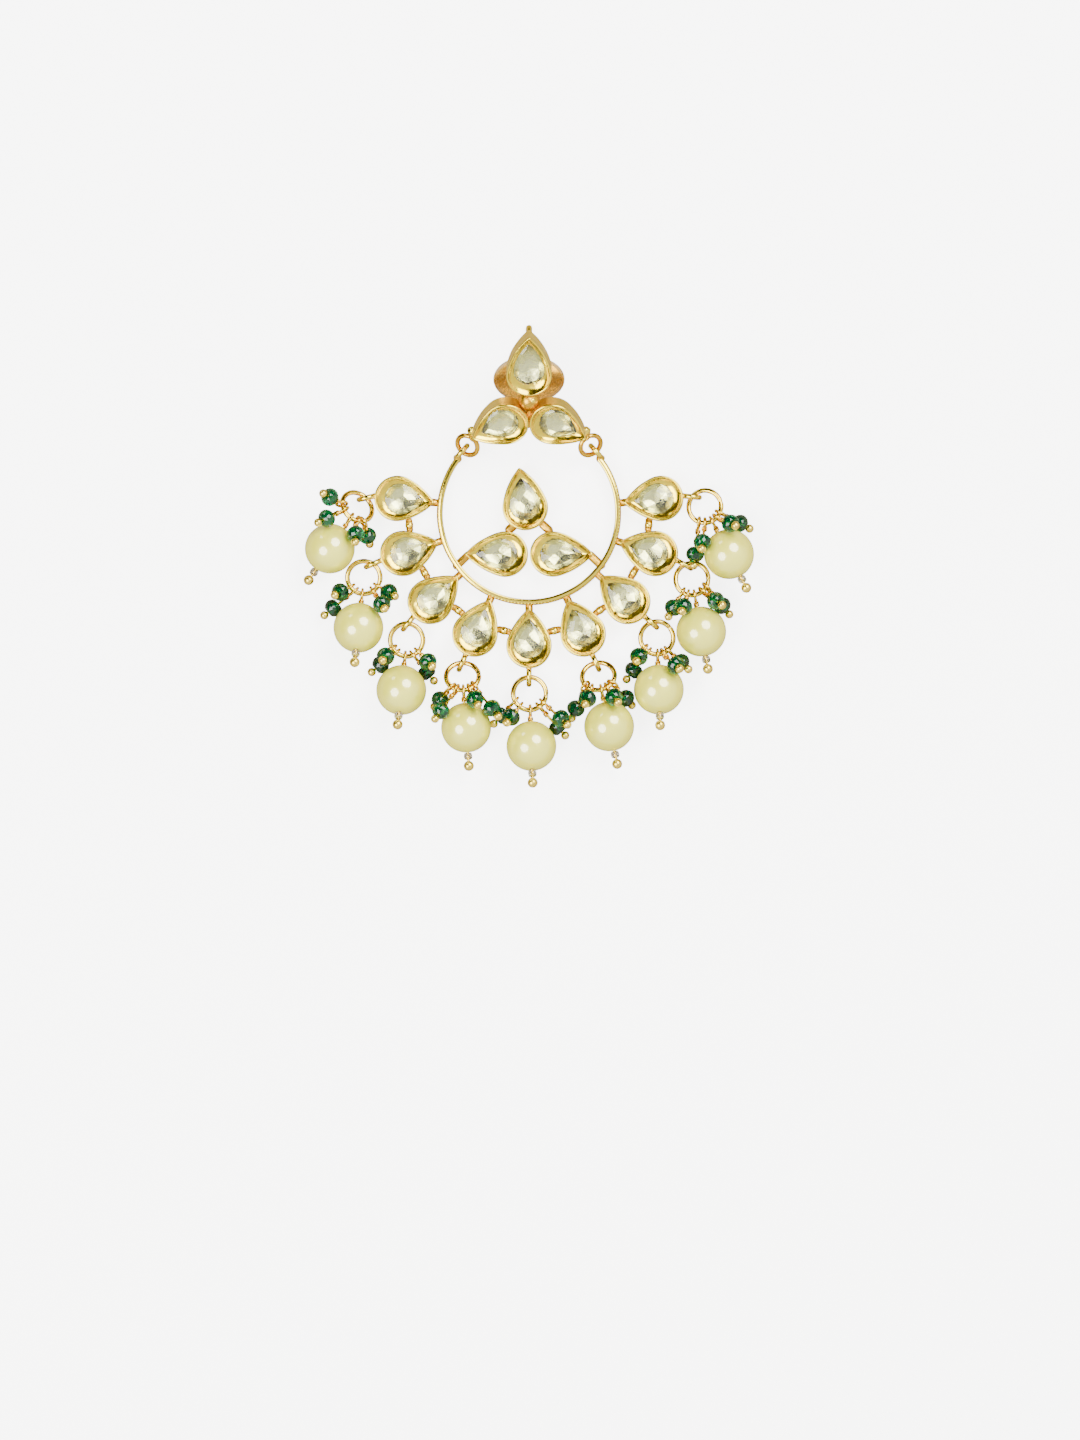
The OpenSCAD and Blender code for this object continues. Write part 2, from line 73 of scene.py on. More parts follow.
class Piece:
    """Points in millimetres, faces and the finish of each face, gathered into one Blender mesh."""

    def __init__(self):
        self.points, self.faces, self.finish = [], [], []

    def add(self, points, faces, finish=0, place=None):
        start = len(self.points)
        for p in points:
            p = Vector(p)
            self.points.append(place @ p if place is not None else p)
        for k, face in enumerate(faces):
            self.faces.append([start + i for i in face])
            self.finish.append(finish[k] if isinstance(finish, list) else finish)

    def make(self, name, materials, slot, nodes=(), body="earring", sharp=38, flat=False):
        mesh = bpy.data.meshes.new(name)
        mesh.from_pydata([p * 0.001 for p in self.points], [], self.faces)
        for m in materials:
            mesh.materials.append(m)
        mesh.polygons.foreach_set("material_index", self.finish)
        mesh.validate()
        if flat:
            mesh.shade_flat()
        else:
            mesh.shade_smooth()
            mesh.set_sharp_from_angle(angle=math.radians(sharp))
        made = bpy.data.objects.new(name, mesh)
        bpy.context.scene.collection.objects.link(made)
        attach(made, body)
        if nodes:
            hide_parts(*nodes)
        return made


def pear_line(length, width):
    """A pear's outline, tip first and at the origin, as evenly spaced points with the tip eased."""
    r = width / 2
    head, flank = length - r, FLANK_SHARE * width
    cx = (head * head + 2 * flank * r - r * r) / (2 * head)
    cy = math.sqrt(flank * flank - cx * cx)
    a_tip, a_head = math.atan2(cy, -cx), math.atan2(cy, head - cx)
    side = [(cx + flank * math.cos(a), cy - flank * math.sin(a)) for a in np.linspace(a_tip, a_head, 60)]
    cap = [(head + r * math.cos(a), r * math.sin(a)) for a in np.linspace(-a_head, a_head, 90)[1:-1]]
    line = np.array(side + cap + [(x, -y) for x, y in side[:0:-1]])
    loop = np.vstack([line, line[:1]])
    along = np.concatenate([[0], np.cumsum(np.linalg.norm(np.diff(loop, axis=0), axis=1))])
    at = np.linspace(0, along[-1], PEAR_POINTS * 2, endpoint=False)
    even = np.column_stack([np.interp(at, along, loop[:, k]) for k in (0, 1)])
    for _ in range(EASING):
        even = even * 0.5 + (np.roll(even, 1, 0) + np.roll(even, -1, 0)) * 0.25
    return even[::2]


def stone_window(length):
    """The opening that the bevel leaves over the stone."""
    line = pear_line(length - TIP_BEVEL - HEAD_BEVEL, PEAR_W - 2 * SIDE_BEVEL)
    return line + np.array([TIP_BEVEL, 0])


# The finishes: satin wall, polished rim, burnished bevel, and painted shade in dark brown on the bevel's ragged inner
# edge where it meets the stone
WALL, RIM, BEVEL, EDGE = 0, 1, 2, 3
# Each ring of a setting: how far in from the outline, or what share of the bevel, then its height and finish
SETTING_RINGS = [("in", 0.4, 0, WALL), ("in", 0.12, 0, WALL), ("in", 0, 0.12, WALL), ("in", 0.05, 0.7, WALL),
                 ("in", 0.06, 1.3, WALL), ("in", 0.02, 1.9, WALL), ("in", 0, 2.2, RIM), ("in", 0.01, 2.36, RIM),
                 ("in", 0.06, 2.46, RIM), ("in", 0.14, 2.5, RIM), ("in", 0.22, 2.49, RIM), ("in", 0.29, 2.43, BEVEL),
                 ("bevel", 0.06, 2.3, BEVEL), ("bevel", 0.2, 2.11, BEVEL), ("bevel", 0.4, 1.94, BEVEL),
                 ("bevel", 0.62, 1.81, BEVEL), ("bevel", 0.84, 1.72, BEVEL), ("bevel", 0.95, 1.69, EDGE),
                 ("bevel", 1, 1.62, EDGE), ("bevel", 0.97, 1.52, EDGE), ("in", 0.5, 1.42, WALL),
                 ("in", 0.4, 1.3, WALL)]
# The depth and size of each unevenness that the hand tools leave
RIM_WAVE, RIM_RISE, BEVEL_DENT = (0.035, 2.2), (0.02, 1.6), (0.09, 1.3)
EDGE_BITE, EDGE_NICK = (0.11, 0.38), (0.05, 0.17)


def uneven(dent, point, seed):
    depth, size = dent
    return depth * soft(point, size, seed)


def setting(piece, length, place, seed):
    """One setting: its wall, rolled rim, burnished bevel and ragged inner edge."""
    outer = pear_line(length, PEAR_W)
    inward = stone_window(length) - outer
    reach = np.linalg.norm(inward, axis=1)[:, None]
    inward = inward / reach
    points, faces, finish = [], [], []
    for kind, size, z, _ in SETTING_RINGS:
        for i in range(PEAR_POINTS):
            x, y = outer[i]
            wave = uneven(RIM_WAVE, (x, y, 0), seed)
            if kind == "in":
                far, lift = size + wave, (uneven(RIM_RISE, (x, y, z), seed + 3) if z > 1.5 else 0)
            else:
                far = RIM_W + size * (reach[i][0] - RIM_W) + wave * (1 - size)
                work = math.sin(math.pi * size) * 0.6 + 0.2
                lift = work * uneven(BEVEL_DENT, (x, y, size * 0.6), seed + 5)
                if size > 0.9:
                    # The inner edge is roughest round the stone's wide end.
                    ragged = uneven(EDGE_BITE, (x, y, 0), seed + 9) + uneven(EDGE_NICK, (x, y, 0), seed + 11)
                    far += ragged * (1.3 if x > length * 0.55 else 0.75)
            points.append((x + inward[i][0] * far, y + inward[i][1] * far, z + lift))
    for k, (_, _, _, skin) in enumerate(SETTING_RINGS):
        here, up = k * PEAR_POINTS, (k + 1) % len(SETTING_RINGS) * PEAR_POINTS
        for i in range(PEAR_POINTS):
            j = (i + 1) % PEAR_POINTS
            faces.append((here + i, here + j, up + j, up + i))
            finish.append(skin)
    piece.add(points, faces, finish, place)


def spoke(i):
    """The heading of an outer setting from the crescent's middle. A half lies between two of them."""
    return -90 + (i - (DROPS - 1) / 2) * OUTER_STEP


def outer_place(i):
    return Matrix.Translation(CRESCENT) @ turned(spoke(i)) @ moved(TIP_R, 0)


# The tips of the inner settings: two at the sides, and one above them that leans to the left
INNER_X, INNER_Y = 9.02, -5.75
INNER_TOP = (-1.4, 6.4, -81)
INNER_PLACES = [Matrix.Translation(CRESCENT) @ moved(x, y) @ turned(a)
                for x, y, a in ((-INNER_X, INNER_Y, 0), INNER_TOP, (INNER_X, INNER_Y, 180))]
# The stud's settings: the turn and half the gap of the side ones, and where the top one's round end is
SIDE_TURN, SIDE_SPLIT, TOP_END = 26, 0.05, 6.9
SIDE_TIP = PEAR_W / 2 + SIDE_SPLIT + (SIDE_L - PEAR_W / 2) * math.cos(math.radians(SIDE_TURN))
STUD_PLANE = Matrix.Translation(STUD_AT) @ turned(STUD_TILT, "X")
STUD_PLACES = [(STUD_PLANE @ moved(-SIDE_TIP, 0) @ turned(SIDE_TURN), SIDE_L),
               (STUD_PLANE @ moved(0, TOP_END + TOP_L) @ turned(-90), TOP_L),
               (STUD_PLANE @ moved(SIDE_TIP, 0) @ turned(180 - SIDE_TURN), SIDE_L)]
CRESCENT_PLACES = [(outer_place(i), OUTER_L) for i in range(DROPS)] + [(m, INNER_L) for m in INNER_PLACES]


def node_group(name, inputs, outputs):
    """A shader node group with its sockets: the group, what goes into it and what comes out."""
    group = bpy.data.node_groups.new(name, "ShaderNodeTree")
    for label, kind, value in inputs:
        socket = group.interface.new_socket(label, in_out="INPUT", socket_type=kind)
        socket.default_value = value
    for label, kind in outputs:
        group.interface.new_socket(label, in_out="OUTPUT", socket_type=kind)
    return group, group.nodes.new("NodeGroupInput").outputs, group.nodes.new("NodeGroupOutput").inputs


def node(tree, kind, inputs=None, **settings):
    """A node with its settings, and its inputs filled by values or by other nodes' outputs."""
    made = tree.nodes.new("ShaderNode" + kind)
    for key, value in settings.items():
        setattr(made, key, value)
    for key, value in (inputs or {}).items():
        if isinstance(value, bpy.types.NodeSocket):
            tree.links.new(value, made.inputs[key])
        else:
            made.inputs[key].default_value = value
    return made


def worked_metal_group():
    """Cast and hand-filed metal: drifting colour, patches of dull skin, fine grain and dents."""
    group, given, out = node_group("worked metal", [
        ("Colour", "NodeSocketColor", (0.9, 0.7, 0.3, 1)), ("Deep Colour", "NodeSocketColor", (0.6, 0.4, 0.2, 1)),
        ("Drift", "NodeSocketFloat", 0.3), ("Patch Size", "NodeSocketFloat", 500),
        ("Polish", "NodeSocketFloat", 0.12), ("Dull", "NodeSocketFloat", 0.3),
        ("Grain Size", "NodeSocketFloat", 5000), ("Grain Depth", "NodeSocketFloat", 0.00001)],
        [("Colour", "NodeSocketColor"), ("Roughness", "NodeSocketFloat"), ("Normal", "NodeSocketVector")])
    spot = node(group, "TexCoord").outputs["Object"]
    patches = node(group, "TexNoise", {"Vector": spot, "Scale": given["Patch Size"], "Detail": 3, "Roughness": 0.6})
    spread = node(group, "MapRange", {"Value": patches.outputs["Fac"], "From Min": 0.38, "From Max": 0.66})
    amount = node(group, "Math", {0: spread.outputs["Result"], 1: given["Drift"]}, operation="MULTIPLY")
    tint = node(group, "Mix", {0: amount.outputs[0], 6: given["Colour"], 7: given["Deep Colour"]}, data_type="RGBA")
    group.links.new(tint.outputs[2], out["Colour"])
    grain = node(group, "TexNoise", {"Vector": spot, "Scale": given["Grain Size"], "Detail": 4, "Roughness": 0.65})
    gloss = node(group, "MapRange", {"Value": grain.outputs["Fac"], "From Min": 0.3, "From Max": 0.72,
                                     "To Min": given["Polish"], "To Max": given["Dull"]})
    group.links.new(gloss.outputs["Result"], out["Roughness"])
    dents = node(group, "TexNoise", {"Vector": spot, "Scale": 900, "Detail": 2})
    relief = node(group, "Math", {0: grain.outputs["Fac"], 1: dents.outputs["Fac"]}, operation="ADD")
    bump = node(group, "Bump", {"Height": relief.outputs[0], "Distance": given["Grain Depth"], "Strength": 1})
    group.links.new(bump.outputs["Normal"], out["Normal"])
    return group


worked_metal = worked_metal_group()


def placed(tree, group, **given):
    """The outputs of a node group placed in a material with its own values."""
    made = tree.nodes.new("ShaderNodeGroup")
    made.node_tree = group
    for key, value in given.items():
        made.inputs[key.replace("_", " ")].default_value = value
    return made.outputs


def metal(name, colour, deep, drift, patch, polish, dull, grain, depth):
    """A metal finish: two colours, how much the second one shows and its size, two roughnesses and the grain."""
    finish = bpy.data.materials.new(name)
    finish.use_nodes = True
    tree = finish.node_tree
    skin = tree.nodes["Principled BSDF"]
    skin.inputs["Metallic"].default_value = 1
    worked = placed(tree, worked_metal, Colour=(*colour, 1), Deep_Colour=(*deep, 1), Drift=drift, Patch_Size=patch,
                    Polish=polish, Dull=dull, Grain_Size=grain, Grain_Depth=depth)
    tree.links.new(worked["Colour"], skin.inputs["Base Color"])
    tree.links.new(worked["Roughness"], skin.inputs["Roughness"])
    tree.links.new(worked["Normal"], skin.inputs["Normal"])
    return finish


satin_gold = metal("satin gold wall", (0.92, 0.73, 0.12), (0.72, 0.50, 0.05), 0.5, 500, 0.26, 0.5, 7000, 0.00002)
polished_gold = metal("polished gold rim", (0.99, 0.76, 0.08), (0.93, 0.65, 0.05), 0.4, 600,
                      0.06, 0.18, 3000, 0.000004)
burnished_gold = metal("burnished gold bevel", (0.97, 0.72, 0.05), (0.70, 0.48, 0.03), 0.6, 700,
                       0.1, 0.28, 2600, 0.000012)
# The bevel's ragged inner edge is painted dark brown as painted shade, standing in for the shade where the stone's
# edge sinks into the setting.
painted_shade_edge = metal("painted shade stone edge", (0.34, 0.24, 0.1), (0.16, 0.11, 0.05), 0.8, 2500,
                  0.4, 0.7, 6000, 0.00002)
SETTING_FINISHES = [satin_gold, polished_gold, burnished_gold, painted_shade_edge]

crescent_settings, stud_settings = Piece(), Piece()
for k, (place, length) in enumerate(CRESCENT_PLACES):
    setting(crescent_settings, length, place, k + 1)
for k, (place, length) in enumerate(STUD_PLACES):
    setting(stud_settings, length, place, k + 20)
crescent_settings.make("crescent_settings", SETTING_FINISHES, "yellow_gold", ["moon_frame"])
stud_settings.make("stud_settings", SETTING_FINISHES, "yellow_gold", ["stud_frame"])

# The stones. Each is a flat slice of clear crystal cut to a pear, with a crown of uneven hand-cut facets round a
# kite-like table. A silver foil is pressed against its shallow back, and the bevel's edge holds it.
def clouded_colour_group():
    """One colour that drifts into a deeper one in soft clouds."""
    group, given, out = node_group("clouded colour", [
        ("Colour", "NodeSocketColor", (1, 1, 1, 1)), ("Deep Colour", "NodeSocketColor", (0.6, 0.6, 0.6, 1)),
        ("Cloud Size", "NodeSocketFloat", 450), ("Detail", "NodeSocketFloat", 3), ("Start", "NodeSocketFloat", 0.35),
        ("End", "NodeSocketFloat", 0.7), ("Amount", "NodeSocketFloat", 1)], [("Colour", "NodeSocketColor")])
    spot = node(group, "TexCoord").outputs["Object"]
    veil = node(group, "TexNoise", {"Vector": spot, "Scale": given["Cloud Size"], "Detail": given["Detail"]})
    spread = node(group, "MapRange", {"Value": veil.outputs["Fac"], "From Min": given["Start"],
                                      "From Max": given["End"], "To Max": given["Amount"]})
    tint = node(group, "Mix", {0: spread.outputs["Result"], 6: given["Colour"], 7: given["Deep Colour"]},
                data_type="RGBA")
    group.links.new(tint.outputs[2], out["Colour"])
    return group


clouded_colour = clouded_colour_group()


def glass(name, colour, deep, roughness, ior, amount, size, transmission=1.0):
    """Clear or coloured cut glass, with faint clouds in its colour."""
    finish = bpy.data.materials.new(name)
    finish.use_nodes = True
    tree = finish.node_tree
    skin = tree.nodes["Principled BSDF"]
    skin.inputs["Transmission Weight"].default_value = transmission
    skin.inputs["IOR"].default_value = ior
    skin.inputs["Roughness"].default_value = roughness
    clouds = placed(tree, clouded_colour, Colour=(*colour, 1), Deep_Colour=(*deep, 1), Cloud_Size=size, Amount=amount)
    tree.links.new(clouds["Colour"], skin.inputs["Base Color"])
    return finish


# Each ring of a stone's corners: their number, their share of the window, their height, unevenness and turn
STONE_RINGS = [(24, 1.1, 1.5, 0, 0), (24, 1.1, 1.36, 0, 0), (13, 0.84, 1.74, 0.12, 0.5), (6, 0.46, 1.9, 0.3, 0.3),
               (14, 0.95, 1.1, 0.06, 0.5), (9, 0.66, 0.84, 0.16, 0.2), (4, 0.26, 0.7, 0.3, 0)]
CLEAR, FOIL = 0, 1


def pear_stone(piece, length, place, seed):
    """A stone as the flat-faced hull of its girdle, crown, table and back."""
    window = stone_window(length)
    middle = window.mean(0)
    mesh = bmesh.new()
    for count, share, z, jitter, turn in STONE_RINGS:
        for i in range(count):
            at = window[int((i + turn) * len(window) / count) % len(window)]
            wobble = 1 + jitter * soft((i * 1.7, share * 5, z), 0.9, seed)
            x, y = middle + (at - middle) * share * wobble
            mesh.verts.new((x, y, z + 0.3 * jitter * soft((i, 2.1, share), 0.8, seed + 2)))
    bmesh.ops.convex_hull(mesh, input=mesh.verts)
    loose = [v for v in mesh.verts if not v.link_faces]
    bmesh.ops.delete(mesh, geom=loose, context="VERTS")
    mesh.verts.index_update()
    mesh.normal_update()
    backs = [FOIL if f.normal.z < -0.3 else CLEAR for f in mesh.faces]
    piece.add([v.co.copy() for v in mesh.verts], [[v.index for v in f.verts] for f in mesh.faces], backs, place)
    mesh.free()


polki = glass("clear polki stone", (0.95, 0.95, 0.70), (0.86, 0.86, 0.58), 0.015, 1.55, 0.4, 700)
foil = metal("silver foil", (0.92, 0.91, 0.60), (0.71, 0.70, 0.38), 0.6, 1300, 0.08, 0.3, 2500, 0.00002)
for k, (place, length) in enumerate(CRESCENT_PLACES):
    name = "outer_stone_%d" % (k + 1) if k < DROPS else "inner_stone_%d" % (k - DROPS + 1)
    stone = Piece()
    pear_stone(stone, length, place, k + 1)
    stone.make("cut_" + name, [polki, foil], "polki_stone", [name], flat=True)
for k, (place, length) in enumerate(STUD_PLACES):
    stone = Piece()
    pear_stone(stone, length, place, k + 20)
    stone.make("cut_stud_stone_%d" % (k + 1), [polki, foil], "polki_stone", ["stud_stone_%d" % (k + 1)], flat=True)

# The crescent's band. It is a strip of gold bent on edge, with fine milgrain notches rolled along its outer front
# edge. The settings' tips are soldered to it through short posts of solder.
NOTCHES, STEPS_A_NOTCH, NOTCH_DEPTH = 120, 6, 0.11
# The band's lower edge, how far it runs on past the last outer settings, and half its whole run
BAND_Z, BAND_PAST = 0.4, 31
BAND_HALF = (DROPS - 1) / 2 * OUTER_STEP + BAND_PAST


def heading(degrees):
    return Vector((math.cos(math.radians(degrees)), math.sin(math.radians(degrees)), 0))


def sweep(rows, closed_run=False):
    """Faces between closed rows of points. The last row joins the first, or else both ends are capped."""
    n = len(rows[0])
    faces = []
    for k in range(len(rows) - (0 if closed_run else 1)):
        up = (k + 1) % len(rows)
        for i in range(n):
            j = (i + 1) % n
            faces.append((k * n + i, k * n + j, up * n + j, up * n + i))
    if not closed_run:
        faces += [tuple(range(n))[::-1], tuple(range((len(rows) - 1) * n, len(rows) * n))]
    return [p for row in rows for p in row], faces


def band_rows():
    low, high, inner, outer = BAND_Z, BAND_Z + BAND_H, BAND_R - BAND_T / 2, BAND_R + BAND_T / 2
    steps = NOTCHES * STEPS_A_NOTCH
    rows = []
    for k in range(steps + 1):
        out = heading(-90 - BAND_HALF + 2 * BAND_HALF * k / steps)
        notch = NOTCH_DEPTH * (0.5 + 0.5 * math.cos(k * math.tau / STEPS_A_NOTCH))
        wave = 0.03 * soft(out * 12, 3, 2)
        section = [(inner + 0.05, low), (inner, low + 0.06), (inner, high - 0.16), (inner + 0.05, high - 0.05),
                   (inner + 0.15, high), (outer - 0.34, high), (outer - 0.27, high - 0.05),
                   (outer - 0.2, high - notch * 0.4), (outer - 0.09, high - 0.04 - notch),
                   (outer - notch * 0.5, high - 0.2 - notch * 0.3), (outer, high - 0.42),
                   (outer, low + 0.06), (outer - 0.05, low)]
        rows.append([out * (r + wave) + Vector((0, 0, z)) for r, z in section])
    return rows


crescent_band = Piece()
crescent_band.add(*sweep(band_rows()), 0, Matrix.Translation(CRESCENT))
crescent_band.make("crescent_band", [polished_gold], "yellow_gold", ["moon_frame"], sharp=50)

# The solder. Orange-brown silver-bearing solder joins the parts: a bar with a bright grain in it between outer
# settings, lumps at the tips and two knots between the inner settings.
solder_gold = metal("orange solder", (0.80, 0.46, 0.03), (0.50, 0.24, 0.01), 0.6, 1500, 0.18, 0.45, 4000, 0.00003)


def lump(piece, a, b, radius, seed, rough=0.12, finish=0, place=None, end_radius=None):
    """A rounded run of solder from a to b with a wandering surface, thinner at b where end_radius says so."""
    a, b = Vector(a), Vector(b)
    axis = (b - a).normalized()
    mesh = bmesh.new()
    bmesh.ops.create_icosphere(mesh, subdivisions=3, radius=1)
    points = []
    for v in mesh.verts:
        r = radius if v.co.dot(axis) < 0 or end_radius is None else end_radius
        centre = a if v.co.dot(axis) < 0 else b
        swell = 1 + rough * soft(v.co, 0.8, seed) + rough * 0.5 * soft(v.co, 0.35, seed + 4)
        points.append(centre + v.co * r * swell)
    mesh.verts.index_update()
    piece.add(points, [[v.index for v in f.verts] for f in mesh.faces], finish, place)
    mesh.free()


SOLDER_Z = 1.12
# The bars between outer settings: how far out they are, and half their length
SPACER_R, SPACER_HALF = TIP_R + OUTER_L * 0.42, 0.62
# From an inner side tip to the band: how far inside and below the tip its solder starts, and how far below it ends
TIP_COVER, TIP_DROP, FOOT_DROP = 0.4, 0.2, 1.6
# The places of the two knots between the inner settings
KNOT_X, KNOT_Y = 2.5, -2.1
crescent_solder = Piece()
for i in range(DROPS):
    lump(crescent_solder, (-0.35, 0, SOLDER_Z), (0.33, 0, SOLDER_Z + 0.25), 0.55, 40 + i, place=outer_place(i))
for i in range(DROPS - 1):
    bar = Matrix.Translation(CRESCENT) @ turned(spoke(i + 0.5)) @ moved(SPACER_R, 0, SOLDER_Z)
    lump(crescent_solder, (0, -SPACER_HALF, 0), (0, SPACER_HALF, 0), 0.5, 60 + i, place=bar)
    lump(crescent_solder, (0, -0.08, 0.15), (0, 0.08, 0.2), 0.57, 70 + i, 0.05, 1, bar)
for s in (-1, 1):
    knot = CRESCENT + Vector((s * KNOT_X, KNOT_Y, SOLDER_Z + 0.2))
    lump(crescent_solder, knot + Vector((-s * 0.55, 0.5, -0.1)), knot + Vector((s * 0.3, -0.3, 0)), 0.6, 80 + s, 0.2)
    tip = CRESCENT + Vector((s * (INNER_X - TIP_COVER), INNER_Y - TIP_DROP, SOLDER_Z))
    foot_y = INNER_Y - FOOT_DROP
    foot = CRESCENT + Vector((s * math.sqrt(BAND_R ** 2 - foot_y ** 2), foot_y, SOLDER_Z))
    lump(crescent_solder, tip, foot, 0.58, 84 + s, 0.15)
crescent_solder.make("crescent_solder", [solder_gold, polished_gold], "yellow_gold", ["moon_frame"])

# The eyes and the stud's link loops. Each is a ring of thick drawn wire, its joint closed with solder where it
# meets a setting's round end, the band's end or a side tip of the stud.
EYE_D, EYE_WIRE = 3.0, 0.75
EYE_R = (EYE_D - EYE_WIRE) / 2
# A link loop's size, its slope, its heading's turn to the side, and its place beyond and below a side tip
LINK_D, LINK_WIRE, LINK_TILT, LINK_TURN, LINK_OUT, LINK_DOWN = 3.8, 0.7, 40, 42, 0.6, 2
LINK_R = (LINK_D - LINK_WIRE) / 2
UP = Vector((0, 0, 1))


def frame_at(place, x_dir, z_dir):
    """A turn and move that takes X to x_dir and Z as near z_dir as it can."""
    ex = Vector(x_dir).normalized()
    ez = (Vector(z_dir) - ex * ex.dot(Vector(z_dir))).normalized()
    ey = ez.cross(ex)
    return Matrix(((ex.x, ey.x, ez.x, place[0]), (ex.y, ey.y, ez.y, place[1]),
                   (ex.z, ey.z, ez.z, place[2]), (0, 0, 0, 1)))


def wire_ring(piece, radius, wire, place, finish=0, around=56, sides=14, seed=0, cut=False):
    """A ring of round wire about Z, slightly uneven, its wire a little thinner where its ends meet if cut is set."""
    rows = []
    for k in range(around):
        a = math.tau * k / around
        out = Vector((math.cos(a), math.sin(a), 0))
        r = radius + 0.02 * soft(out * 3, 2, seed)
        thick = wire / 2 * (1 + 0.03 * soft(out * 3, 1, seed + 1))
        if cut and k in (0, 1):
            thick *= 0.86
        rows.append([out * (r + thick * math.cos(b)) + Vector((0, 0, thick * math.sin(b)))
                     for b in [math.tau * i / sides for i in range(sides)]])
    piece.add(*sweep(rows, closed_run=True), finish, place)


# How far each outer eye is turned towards its jump ring
EYE_TURN = [20, 6, 10, 0, 0, 0, 0, -12, -12]
crescent_eyes = Piece()
for i in range(DROPS):
    here = outer_place(i)
    eye = here @ moved(OUTER_L, 0, EYE_D / 2) @ turned(EYE_TURN[i]) @ moved(EYE_R, 0) @ turned(90, "X")
    wire_ring(crescent_eyes, EYE_R, EYE_WIRE, eye, seed=i)
    lump(crescent_eyes, (OUTER_L - 0.25, 0, 1.2), (OUTER_L + 0.05, 0, 2.1), 0.5, 90 + i, 0.12, 1, here, 0.36)


def link_heading(s):
    return heading(90 + s * LINK_TURN)


def link_up(s):
    return math.cos(math.radians(LINK_TILT)) * UP - math.sin(math.radians(LINK_TILT)) * link_heading(s)


def link_x(s):
    return math.cos(math.radians(LINK_TILT)) * link_heading(s) + math.sin(math.radians(LINK_TILT)) * UP


def link_at(s):
    rise = EYE_D / 2 + LINK_R * math.sin(math.radians(LINK_TILT))
    return CRESCENT + Vector((s * (SIDE_TIP + LINK_OUT), STUD_Y - LINK_DOWN, rise))


def rod(piece, a, b, radius, finish=0, sides=16):
    """A straight piece of round wire with eased ends."""
    length = (b - a).length
    rows = [[(x, r * math.cos(t), r * math.sin(t)) for t in [math.tau * i / sides for i in range(sides)]]
            for x, r in ((0, radius * 0.8), (radius * 0.2, radius), (length - radius * 0.2, radius),
                         (length, radius * 0.8))]
    piece.add(*sweep(rows), finish, frame_at(a, b - a, (0.1, 0.2, 1)))


for s in (-1, 1):
    way, eye_at = link_heading(s), link_at(s) - LINK_R * link_x(s)
    wire_ring(crescent_eyes, EYE_R, EYE_WIRE, frame_at(eye_at, way, way.cross(UP)), seed=20 + s)
    end = CRESCENT + BAND_R * heading(-90 + s * BAND_HALF) + (EYE_D / 2 - 0.1) * UP
    neck = eye_at - EYE_R * way
    rod(crescent_eyes, end, neck, EYE_WIRE / 2)
    lump(crescent_eyes, end, end.lerp(neck, 0.5), 0.55, 100 + s, 0.15, 1)
crescent_eyes.make("crescent_eyes", [polished_gold, solder_gold], "yellow_gold", ["moon_frame"])

# The stud's metalwork. The three settings meet in a ball of solder, a short broken peg of wire stands below it, and a
# straight ear post with a notched, rounded end is soldered behind.
orange_wire = metal("orange link wire", (0.84, 0.50, 0.04), (0.54, 0.27, 0.01), 0.6, 900,
                    0.12, 0.3, 3000, 0.00001)
# The post: its lean towards the stud's top, its place above the side tips, its length and its thickness
POST_LEAN, POST_UP, POST_L, POST_D = 20, 6.2, 12.3, 0.9
# The notch near its tip: where it starts, its length, its depth and the slope of its edges
NOTCH_Z, NOTCH_L, NOTCH_IN, NOTCH_EDGE = 10, 0.6, 0.18, 0.04
# The peg's two ends and its radius, and the place of the ball of solder
PEG_LOW, PEG_TOP, PEG_R = 1.2, 4.6, 0.35
JUNCTION = STUD_PLANE @ moved(0, TOP_END - PEAR_W / 2 * 0.45)
stud_metalwork = Piece()
lump(stud_metalwork, (0, -0.1, 0.95), (0, 0.15, 1.15), 1.45, 110, 0.08, 1, JUNCTION)
# A small lump of pale polished gold poking out of the top of the orange ball is a painted highlight.
lump(stud_metalwork, (0.3, 0.4, 1.9), (0.45, 0.5, 2), 0.5, 112, 0.12, 0, JUNCTION)
peg = [STUD_PLANE @ Vector((0, y, SOLDER_Z)) for y in (PEG_LOW, PEG_TOP)]
rod(stud_metalwork, *peg, PEG_R, 1)
for s in (-1, 1):
    wire_ring(stud_metalwork, LINK_R, LINK_WIRE, frame_at(link_at(s), link_x(s), link_up(s)), 2, seed=30 + s)
    top = link_at(s) + LINK_R * link_x(s)
    tip = STUD_AT + Vector((s * SIDE_TIP, 0, 0))
    lump(stud_metalwork, top.lerp(tip, 0.2), tip, 0.62, 114 + s, 0.18)
POST_PLACE = STUD_PLANE @ moved(0, POST_UP) @ turned(POST_LEAN - 180, "X")


def lathe(piece, profile, place, finish, steps, bored=False):
    """A form turned about Z from radii and heights, with flat ends or with a bore that joins its last and first."""
    rows = [[(r * math.cos(a), r * math.sin(a), z) for a in [math.tau * i / steps for i in range(steps)]]
            for r, z in profile]
    piece.add(*sweep(rows, bored), finish, place)


def arc(radius, angles, middle=(0, 0), tall=None):
    """Points of a profile along an arc, or along part of an ellipse if it is as tall as tall says."""
    tall = radius if tall is None else tall
    return [(middle[0] + radius * math.cos(math.radians(a)), middle[1] + tall * math.sin(math.radians(a)))
            for a in angles]


